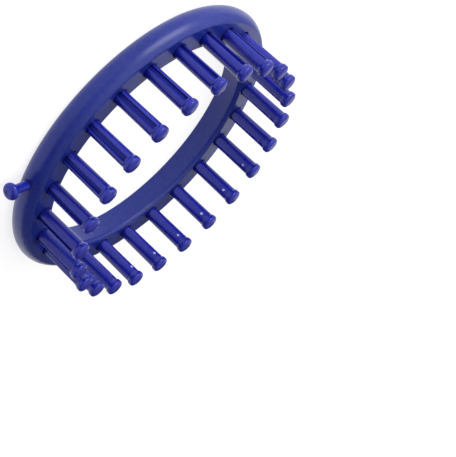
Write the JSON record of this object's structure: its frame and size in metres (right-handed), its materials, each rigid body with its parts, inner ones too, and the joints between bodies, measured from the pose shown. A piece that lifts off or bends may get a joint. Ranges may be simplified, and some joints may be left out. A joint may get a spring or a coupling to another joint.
{
  "type": "knitting loom",
  "caption": "Round knitting loom: a low moulded ring with a circle of upright grooved pegs around a wide opening and one anchor peg on its side.",
  "frame": {"origin": "on the ring's axis, in the plane of the underside that the loom stands on", "axes": "+Z along the ring's axis, the way the pegs point; the anchor peg points out along -Y"},
  "size_m": [0.14, 0.1506, 0.0354],
  "materials": {
    "ring_plastic": "satin moulded blue",
    "peg_plastic": "glossy moulded violet-blue"
  },
  "bodies": {
    "root": {"ring": "ring_plastic", "peg_01": "peg_plastic", "peg_02": "peg_plastic", "peg_03": "peg_plastic", "peg_04": "peg_plastic", "peg_05": "peg_plastic", "peg_06": "peg_plastic", "peg_07": "peg_plastic", "peg_08": "peg_plastic", "peg_09": "peg_plastic", "peg_10": "peg_plastic", "peg_11": "peg_plastic", "peg_12": "peg_plastic", "peg_13": "peg_plastic", "peg_14": "peg_plastic", "peg_15": "peg_plastic", "peg_16": "peg_plastic", "peg_17": "peg_plastic", "peg_18": "peg_plastic", "peg_19": "peg_plastic", "peg_20": "peg_plastic", "peg_21": "peg_plastic", "peg_22": "peg_plastic", "peg_23": "peg_plastic", "peg_24": "peg_plastic", "anchor_peg": "peg_plastic"}
  },
  "joints": []
}
